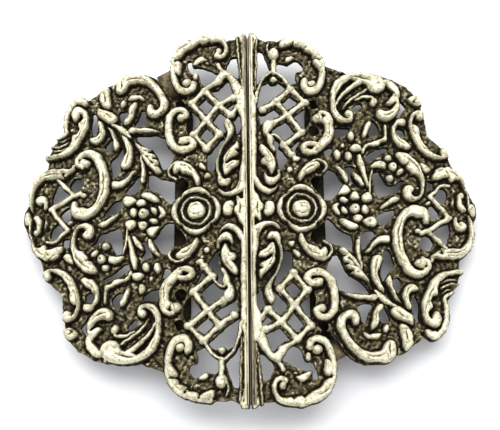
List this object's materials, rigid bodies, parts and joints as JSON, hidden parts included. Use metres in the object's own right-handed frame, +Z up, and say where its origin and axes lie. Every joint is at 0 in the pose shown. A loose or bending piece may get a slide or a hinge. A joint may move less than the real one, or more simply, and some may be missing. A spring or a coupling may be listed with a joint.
{
  "type": "fastened nurse clasp buckle",
  "caption": "Openwork rococo nurse's clasp buckle: two like cast halves with C-scrolls, leaves, flowers and lattice, hooked together at a ribbed seam, with a flat belt bar behind each",
  "frame": {"origin": "the middle of the buckle, on the surface that its two belt bars rest on", "axes": "+Z up out of the decorated face, +Y along the seam to the wearer's head, +X across the seam to the right half as seen from the front"},
  "size_m": [0.0966, 0.082, 0.0098],
  "materials": {
    "antique_silver": "cast, silver plated, oxidised dark in the recesses and polished on the crests",
    "dull_metal": "plain, unpolished"
  },
  "bodies": {
    "root": {"left_half": "antique_silver", "right_half": "antique_silver", "clasp_hook": "dull_metal"}
  },
  "joints": []
}
